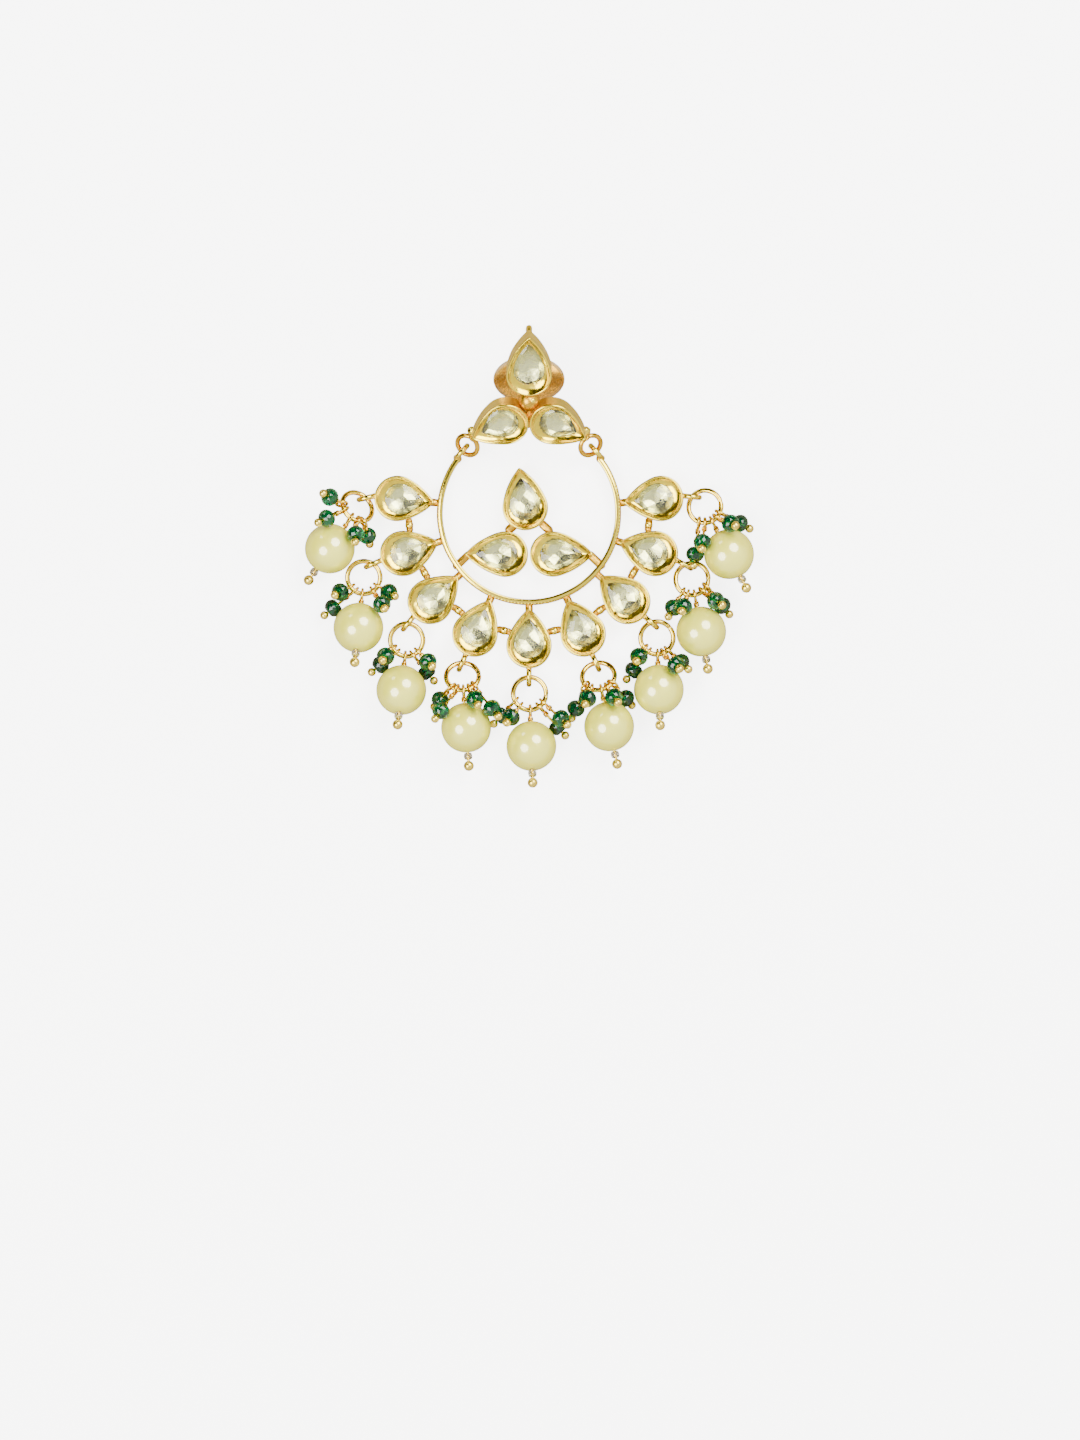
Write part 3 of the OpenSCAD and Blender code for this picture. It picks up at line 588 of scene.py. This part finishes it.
post_r = POST_D / 2
notch = [(post_r, NOTCH_Z), (post_r - NOTCH_IN, NOTCH_Z + NOTCH_EDGE),
         (post_r - NOTCH_IN, NOTCH_Z + NOTCH_L - NOTCH_EDGE), (post_r, NOTCH_Z + NOTCH_L)]
tip = arc(post_r, (0, 20, 40, 60, 78), (0, POST_L - post_r))
lathe(stud_metalwork, [(post_r, -1), (post_r, 0)] + notch + tip + [(0.02, POST_L)], POST_PLACE, 0, 24)
stud_metalwork.make("stud_metalwork", [polished_gold, solder_gold, orange_wire], "yellow_gold", ["stud_frame"])

# The push back. It is turned from one piece: a thin wide pad in pale rose gold, a flange and a hollow barrel in
# copper-coloured plating with a groove and a dark open mouth.
rose_pad = metal("rose gold pad", (0.92, 0.62, 0.28), (0.84, 0.50, 0.19), 0.35, 260, 0.16, 0.32, 3500, 0.000005)
copper_barrel = metal("copper barrel", (0.86, 0.46, 0.14), (0.62, 0.29, 0.07), 0.4, 500, 0.14, 0.3, 3500, 0.000005)
# The pad's place along the leaning post, so that its edge is just clear of the settings' backs
PAD_R, PAD_CLEAR = 5.0, 0.3
PAD_PLACE = (PAD_R * math.sin(math.radians(POST_LEAN)) + PAD_CLEAR) / math.cos(math.radians(POST_LEAN))
BORE, BACK_SIDES = POST_D / 2 + 0.05, 96
pad = [(BORE, 0), (BORE + 0.2, 0.02), (1.4, 0.03), (PAD_R - 0.6, 0.02), (PAD_R - 0.15, 0.06), (PAD_R - 0.03, 0.15),
       (PAD_R, 0.22), (PAD_R - 0.03, 0.3), (PAD_R - 0.12, 0.38), (PAD_R - 0.3, 0.4), (3.1, 0.4)]
barrel = [(2.95, 0.46), (2.95, 1.2), (2.86, 1.3), (2.2, 1.33), (2.02, 1.42), (2.0, 2.4), (1.9, 2.46), (1.9, 2.62),
          (2.0, 2.68), (2.0, 3.7), (1.9, 3.8), (1.66, 3.86), (1.6, 3.95), (1.6, 5.9), (1.52, 6.06), (1.4, 6.1),
          (1.3, 6.02), (1.3, 3.4), (1.2, 3.36), (BORE, 3.36)]
platings = [0] * BACK_SIDES * len(pad) + [1] * BACK_SIDES * len(barrel)
push_back = Piece()
lathe(push_back, pad + barrel, POST_PLACE @ moved(0, 0, PAD_PLACE), platings, BACK_SIDES, True)
push_back.make("turned_push_back", [rose_pad, copper_barrel], "rose_gold", ["push_back"], body="push_back")

# The jump rings. Each is a ring of round gold wire, sawn and closed by hand, which hangs in an outer eye and
# carries a pearl and four beads.
RING_D, RING_WIRE = 5.3, 0.7
RING_R = (RING_D - RING_WIRE) / 2
# One row a drop: the jump ring's heading and slope, and the heading of the pearl's pin
DROP_RING = [(226, 40, 236), (236, -4, 264), (266, -4, 264), (272, 34, 274), (272, 4, 272), (280, 34, 282),
             (290, 0, 272), (297, 12, 280), (322, 12, 297)]
# How far a jump ring is pulled outwards in its eye
RING_PULL = 0.1


def ring_x(i):
    slope = math.radians(DROP_RING[i][1])
    return math.cos(slope) * heading(DROP_RING[i][0]) + math.sin(slope) * UP


def ring_y(i):
    return heading(DROP_RING[i][0] + 90)


def ring_at(i):
    eye = (TIP_R + OUTER_L) * heading(spoke(i)) + (EYE_R + RING_PULL) * heading(spoke(i) + EYE_TURN[i])
    return CRESCENT + eye + EYE_D / 2 * UP + RING_R * ring_x(i)


ring_gold = metal("ring gold", (0.97, 0.69, 0.06), (0.86, 0.52, 0.03), 0.5, 700, 0.08, 0.22, 3000, 0.000006)
for i in range(DROPS):
    jump_ring = Piece()
    here = frame_at(ring_at(i), ring_x(i), ring_x(i).cross(ring_y(i))) @ turned(70 + 40 * math.sin(i * 2.3))
    wire_ring(jump_ring, RING_R, RING_WIRE, here, 0, 72, 16, 40 + i, True)
    jump_ring.make("closed_jump_ring_%d" % (i + 1), [ring_gold], "yellow_gold", ["jump_ring_%d" % (i + 1)])

# The headpins. Each is one bent wire: a ball melted at its end, a straight stem through its pearl or bead, a loop on
# the jump ring and the wire's tail coiled round its neck.
PEARL_D, BEAD_D, BEAD_L = 7.0, 2.6, 1.9
WRAP_L, SEED_L, PEARL_BALL_D, BEAD_BALL_D = 0.7, 1.2, 1.44, 1.2
PIN_WIRE, LOOP_BORE = 0.4, 1.1
LOOP_R = (LOOP_BORE + PIN_WIRE) / 2
WRAP_END = LOOP_R + PIN_WIRE / 2 + WRAP_L
# How far a loop is pulled from its jump ring's wire, and the room along a pin at a bead
LOOP_PULL, SNUG = 0.08, 0.05
# Four green beads a drop: the loop's place round the jump ring, the pin's turn from the pearl's pin, its bare stem
# as a share of the bead's width and its lift as a share of the pearl's
DROP_BEADS = [
    [(-60, -85, 0.1, 0.7), (-35, -30, 0.2, 0.7), (25, 30, 0, 0.7), (50, 50, 0, 0.1)],
    [(-50, -55, 0, 0.3), (-30, -45, 0.4, 0), (40, 40, 0.8, 0.6), (65, 65, 0, 0.3)],
    [(-55, -30, 0.2, 0.4), (-35, -45, 0, 0), (30, 45, 0.1, 0), (50, 50, 0.3, 0.4)],
    [(-45, -45, 0.1, 0.1), (-25, -40, 0.6, 0.7), (20, 25, 0, 0.7), (40, 35, 0.6, 0.6)],
    [(-64, -45, 0, 0.1), (-40, -40, 0.1, 0.4), (35, 40, 0.4, 0.05), (55, 45, 0.5, 0.4)],
    [(-60, -35, 0.4, 0.1), (-35, -35, 0, 0.7), (20, 25, 0, 0.7), (45, 30, 0.3, 0.05)],
    [(-55, -30, 0.1, 0.4), (-35, -40, 0.2, 0), (20, 45, 1, 0.7), (40, 45, 0, 0.2)],
    [(-45, -40, 0, 0.3), (-25, -30, 0.6, 0.7), (30, 45, 0.2, 0.5), (50, 30, 0.3, 0.05)],
    [(-47, -34, 0.7, 0.2), (-26, -35, 0.8, 0.7), (20, 40, 0.6, 0.7), (40, 35, 0.2, 0.05)]]


def loop_at(i, degrees):
    a = math.radians(degrees)
    seat = RING_R + (LOOP_BORE - RING_WIRE) / 2 - LOOP_PULL
    return ring_at(i) + seat * (math.cos(a) * ring_x(i) + math.sin(a) * ring_y(i))


def loop_axis(i, degrees):
    a = math.radians(degrees)
    return math.cos(a) * ring_y(i) - math.sin(a) * ring_x(i)


def pin_dir(start, turn, reach, z):
    rise = (z - start.z) / reach
    return math.sqrt(1 - rise * rise) * heading(turn) + rise * UP


PEARL_REACH = WRAP_END + SNUG + PEARL_D / 2
PEARL_PIN_L = PEARL_REACH + PEARL_D / 2 + SEED_L + PEARL_BALL_D / 2
pearl_places, bead_places, pin_rows = [], [], []
for i in range(DROPS):
    own = DROP_RING[i][2] - DROP_RING[i][0]
    start = loop_at(i, own)
    way = pin_dir(start, DROP_RING[i][2], PEARL_REACH, PEARL_D / 2)
    pearl_places.append(frame_at(start + PEARL_REACH * way, way, UP))
    rows = [(frame_at(start, way, loop_axis(i, own)), PEARL_PIN_L, PEARL_BALL_D)]
    drop = []
    for place, turn, stem, lift in DROP_BEADS[i]:
        reach = WRAP_END + SNUG + stem * BEAD_D + BEAD_L / 2
        start = loop_at(i, own + place)
        way = pin_dir(start, DROP_RING[i][2] + turn, reach, BEAD_D / 2 + lift * PEARL_D)
        drop.append(frame_at(start + reach * way, way, UP))
        length = reach + BEAD_L / 2 + SNUG + BEAD_BALL_D / 2
        rows.append((frame_at(start, way, loop_axis(i, own + place)), length, BEAD_BALL_D))
    bead_places.append(drop)
    pin_rows.append(rows)


def wire(piece, line, radius, finish, place, sides):
    """Round wire along a line of points."""
    line = [Vector(p) for p in line]
    rows, up = [], Vector((0.13, 0.21, 1)).normalized()
    for k, p in enumerate(line):
        way = (line[min(k + 1, len(line) - 1)] - line[max(k - 1, 0)]).normalized()
        side = way.cross(up).normalized()
        up = side.cross(way).normalized()
        rows.append([p + radius * (math.cos(a) * side + math.sin(a) * up)
                     for a in [math.tau * i / sides for i in range(sides)]])
    piece.add(*sweep(rows), finish, place)


# The wrapped tail: how many turns it takes round the neck, how far round it, and its thickness
WRAP_TURNS, WRAP_R, WRAP_WIRE, WRAP_STEPS = 2.6, 0.29, 0.26, 33


def headpin(piece, place, length, ball_d, seed):
    """A pin along X with its loop at the origin."""
    r = PIN_WIRE / 2
    loop = [(LOOP_R * math.cos(a), LOOP_R * math.sin(a), 0.02 * a - 0.06)
            for a in np.linspace(math.radians(-4), math.radians(352), 34)]
    wire(piece, loop, r, 0, place, 10)
    wire(piece, [(LOOP_R - 0.12, 0, 0), (length * 0.5, 0, 0), (length, 0, 0)], r, 0, place, 10)
    start = LOOP_R + r * 0.6 + 0.08
    coil = []
    for k in range(WRAP_STEPS + 1):
        t = k / WRAP_STEPS
        a = WRAP_TURNS * math.tau * t + seed
        coil.append((start + (WRAP_L - 0.1) * t, WRAP_R * math.cos(a), WRAP_R * math.sin(a)))
    wire(piece, coil, WRAP_WIRE / 2, 1, place, 7)
    ball = ball_d / 2
    profile = [(0.02, -ball)] + arc(ball, range(-80, 90, 20)) + [(0.02, ball)]
    lathe(piece, profile, place @ moved(length, 0) @ turned(90, "Y"), 2, 28)


bright_wire = metal("bright pin wire", (0.95, 0.66, 0.06), (0.78, 0.47, 0.03), 0.4, 900, 0.08, 0.22, 3000, 0.000005)
copper_wire = metal("copper wrap wire", (0.84, 0.50, 0.04), (0.58, 0.30, 0.02), 0.5, 900, 0.14, 0.3, 3000, 0.000008)
pale_ball = metal("satin pin ball", (0.96, 0.74, 0.13), (0.84, 0.58, 0.07), 0.4, 900, 0.2, 0.36, 5000, 0.00001)
for i in range(DROPS):
    pins = Piece()
    for k, (place, length, ball_d) in enumerate(pin_rows[i]):
        headpin(pins, place, length, ball_d, i + k * 1.3)
    finishes = [bright_wire, copper_wire, pale_ball]
    pins.make("wrapped_pins_%d" % (i + 1), finishes, "yellow_gold", ["drop_pins_%d" % (i + 1)])

# The pearls. Each is a round champagne pearl, drilled through, with a soft satiny lustre and faint growth rings.
def fine_relief_group():
    """Fine even relief as a normal."""
    group, given, out = node_group("fine relief", [
        ("Size", "NodeSocketFloat", 1500), ("Depth", "NodeSocketFloat", 0.00001), ("Strength", "NodeSocketFloat", 1)],
        [("Normal", "NodeSocketVector")])
    spot = node(group, "TexCoord").outputs["Object"]
    ripple = node(group, "TexNoise", {"Vector": spot, "Scale": given["Size"], "Detail": 2})
    bump = node(group, "Bump", {"Height": ripple.outputs["Fac"], "Distance": given["Depth"],
                                "Strength": given["Strength"]})
    group.links.new(bump.outputs["Normal"], out["Normal"])
    return group


fine_relief = fine_relief_group()


def pearl_material():
    finish = bpy.data.materials.new("champagne pearl")
    finish.use_nodes = True
    tree = finish.node_tree
    skin = tree.nodes["Principled BSDF"]
    skin.inputs["Roughness"].default_value = 0.42
    skin.inputs["IOR"].default_value = 2.7
    skin.inputs["Specular Tint"].default_value = (1, 0.92, 0.36, 1)
    skin.inputs["Coat Weight"].default_value = 1
    skin.inputs["Coat IOR"].default_value = 2.2
    skin.inputs["Coat Roughness"].default_value = 0.09
    skin.inputs["Subsurface Weight"].default_value = 0.25
    skin.inputs["Subsurface Radius"].default_value = (1, 0.9, 0.5)
    skin.inputs["Subsurface Scale"].default_value = 0.0012
    bloom = placed(tree, clouded_colour, Colour=(1, 0.96, 0.09, 1), Deep_Colour=(0.96, 0.90, 0.06, 1), Cloud_Size=240,
                   Start=0, End=1)
    tree.links.new(bloom["Colour"], skin.inputs["Base Color"])
    ripple = placed(tree, fine_relief, Size=1500, Depth=0.000006)
    tree.links.new(ripple["Normal"], skin.inputs["Normal"])
    return finish


champagne_pearl = pearl_material()
# The drilled hole: its radius, and the radius and depth at which it opens into the pearl's face
DRILL_R, MOUTH_R, MOUTH_DEEP = PIN_WIRE / 2 + 0.1, 0.36, 0.12
rim = math.degrees(math.acos(MOUTH_R / (PEARL_D / 2)))
face = arc(PEARL_D / 2, np.linspace(-rim, rim, 44))
top = face[-1][1]
profile = [(DRILL_R, -top + MOUTH_DEEP)] + face + [(DRILL_R, top - MOUTH_DEEP)]
for i in range(DROPS):
    pearl = Piece()
    lathe(pearl, profile, pearl_places[i] @ turned(90, "Y"), 0, 72, True)
    pearl.make("round_pearl_%d" % (i + 1), [champagne_pearl], "pearl", ["pearl_%d" % (i + 1)])

# The green beads. Each is a faceted rondelle of deep emerald glass, drilled through and loose on its pin.
emerald = glass("emerald glass", (0, 0.24, 0.08), (0, 0.1, 0.033), 0.02, 1.57, 0.5, 500, 0.92)
BEAD_SIDES = 14
# Each ring of a bead's facets: its radius, its place along the pin and its turn in facets
BEAD_RINGS = [(DRILL_R, -0.86, 0), (0.72, -0.95, 0), (1.04, -0.68, 0.5), (1.24, -0.32, 0), (1.3, 0, 0.5),
              (1.24, 0.32, 0), (1.04, 0.68, 0.5), (0.72, 0.95, 0), (DRILL_R, 0.86, 0)]
for i in range(DROPS):
    beads = Piece()
    for k, place in enumerate(bead_places[i]):
        points, faces = [], []
        for r, x, shift in BEAD_RINGS:
            points += [(x, r * math.cos(a), r * math.sin(a))
                       for a in [math.tau * (n + shift) / BEAD_SIDES + k for n in range(BEAD_SIDES)]]
        for m in range(len(BEAD_RINGS)):
            up = (m + 1) % len(BEAD_RINGS)
            for n in range(BEAD_SIDES):
                o = (n + 1) % BEAD_SIDES
                a, b, c, d = [row * BEAD_SIDES + at for row, at in ((m, n), (m, o), (up, o), (up, n))]
                faces += [(a, b, c), (a, c, d)] if BEAD_RINGS[m][2] else [(a, b, d), (b, c, d)]
        beads.add(points, faces, 0, place)
    beads.make("cut_green_beads_%d" % (i + 1), [emerald], "emerald_bead", ["green_beads_%d" % (i + 1)], flat=True)

# The seed beads. One tiny clear glass bead sits between each pearl and the ball of its pin.
seed_glass = glass("clear seed glass", (0.97, 0.95, 0.88), (0.58, 0.57, 0.53), 0.06, 1.5, 0.2, 900)
# A seed bead: its bore, half its length, the middle and half the thickness of its glass, and its place past the pearl
SEED_BORE, SEED_HALF, SEED_MIDDLE, SEED_THICK, SEED_GAP = 0.22, 0.45, 0.42, 0.18, 0.55
glass_line = arc(SEED_THICK, range(-170, 171, 20), (SEED_MIDDLE, 0), SEED_HALF)
profile = [(SEED_BORE, -0.1)] + glass_line + [(SEED_BORE, 0.1)]
for i in range(DROPS):
    seed_bead = Piece()
    place = pearl_places[i] @ moved(PEARL_D / 2 + SEED_GAP, 0) @ turned(90, "Y")
    lathe(seed_bead, profile, place, 0, 24, True)
    seed_bead.make("seed_bead_%d" % (i + 1), [seed_glass], "polki_stone")

# The cloth that the earring lies on: fine white cotton, pulled flat.
cloth = bpy.data.meshes.new("white_cloth")
# Half the cloth's side, in metres
CLOTH_HALF = 0.6
corners = [(x * CLOTH_HALF, y * CLOTH_HALF, 0) for x, y in ((-1, -1), (1, -1), (1, 1), (-1, 1))]
cloth.from_pydata(corners, [], [(0, 1, 2, 3)])
cloth_material = bpy.data.materials.new("white cotton")
cloth_material.use_nodes = True
tree = cloth_material.node_tree
skin = tree.nodes["Principled BSDF"]
skin.inputs["Roughness"].default_value = 0.9
skin.inputs["Specular IOR Level"].default_value = 0.2
weave = placed(tree, clouded_colour, Colour=(0.93, 0.93, 0.925, 1), Deep_Colour=(0.88, 0.88, 0.88, 1),
               Cloud_Size=1800, Detail=2, Start=0, End=1)
# The camera sees the cloth overexposed, and the metal sees the dim warm ground that the photograph's gold mirrors.
seen = node(tree, "LightPath").outputs["Is Camera Ray"]
cast = node(tree, "Mix", {0: seen, 6: (0.3, 0.25, 0.17, 1), 7: weave["Colour"]}, data_type="RGBA")
tree.links.new(cast.outputs[2], skin.inputs["Base Color"])
skin.inputs["Emission Color"].default_value = (1, 1, 1, 1)
glow = node(tree, "MapRange", {"Value": seen, "To Min": 0, "To Max": 5})
tree.links.new(glow.outputs["Result"], skin.inputs["Emission Strength"])
threads = placed(tree, fine_relief, Size=1800, Depth=0.00003, Strength=0.6)
tree.links.new(threads["Normal"], skin.inputs["Normal"])
cloth.materials.append(cloth_material)
floor = bpy.data.objects.new("white_cloth", cloth)
bpy.context.scene.collection.objects.link(floor)

# The light: a large window high at the right, a second one at the left, a weak one beyond the stud and a bright
# white room.
CENTRE = Vector((0, 0, 0.003))


def soft_lamp(name, way, far, size, power, colour=(1, 1, 1)):
    """A round soft lamp that shines at the earring, with its distance and size in metres."""
    lamp = bpy.data.lights.new(name, "AREA")
    lamp.shape, lamp.size, lamp.energy, lamp.color = "DISK", size, power, colour
    made = bpy.data.objects.new(name, lamp)
    way = Vector(way).normalized()
    made.location = CENTRE + way * far
    made.rotation_euler = way.to_track_quat("Z", "Y").to_euler()
    bpy.context.scene.collection.objects.link(made)


soft_lamp("right window", (0.396, 0.49, 0.776), 0.7, 0.5, 9, (1, 0.99, 0.96))
soft_lamp("left window", (-0.535, -0.191, 0.823), 0.7, 0.46, 7, (1, 0.99, 0.97))
soft_lamp("far window", (-0.54, 0.77, 0.34), 0.9, 0.25, 0.7)
room = bpy.data.worlds.new("white room")
room.use_nodes = True
tree = room.node_tree
way = node(tree, "TexCoord").outputs["Generated"]
turn = node(tree, "VectorMath", {0: way, 1: (-0.45, 0.89, 0)}, operation="DOT_PRODUCT")
far_side = node(tree, "MapRange", {"Value": turn.outputs["Value"], "From Min": -0.2, "From Max": 0.22,
                                   "To Min": 1, "To Max": 0.03})
wall = node(tree, "Mix", {0: far_side.outputs["Result"], 6: (0, 0, 0, 1), 7: (1, 1, 0.98, 1)}, data_type="RGBA")
tree.links.new(wall.outputs[2], tree.nodes["Background"].inputs["Color"])
tree.nodes["Background"].inputs["Strength"].default_value = 1.3
bpy.context.scene.world = room

# The camera looks straight down, as the photograph does, from the middle of the photograph's frame.
PX_PER_MM, PHOTO_W, PHOTO_H = 7.14, 1080, 1440
# The pixel of the crescent's middle, and the height of the settings' faces
CRESCENT_PX, FACE_Z = (529, 513), 2
LENS, SENSOR = 600, 36
right, down = (PHOTO_W / 2 - CRESCENT_PX[0]) / PX_PER_MM, (PHOTO_H / 2 - CRESCENT_PX[1]) / PX_PER_MM
far = PHOTO_H / PX_PER_MM * LENS / SENSOR
eye = bpy.data.cameras.new("camera")
eye.lens, eye.sensor_width = LENS, SENSOR
eye.clip_start, eye.clip_end = 0.01, 10
camera = bpy.data.objects.new("camera", eye)
camera.location = (CRESCENT + Vector((right, -down, far + FACE_Z))) * 0.001
bpy.context.scene.collection.objects.link(camera)
bpy.context.scene.camera = camera
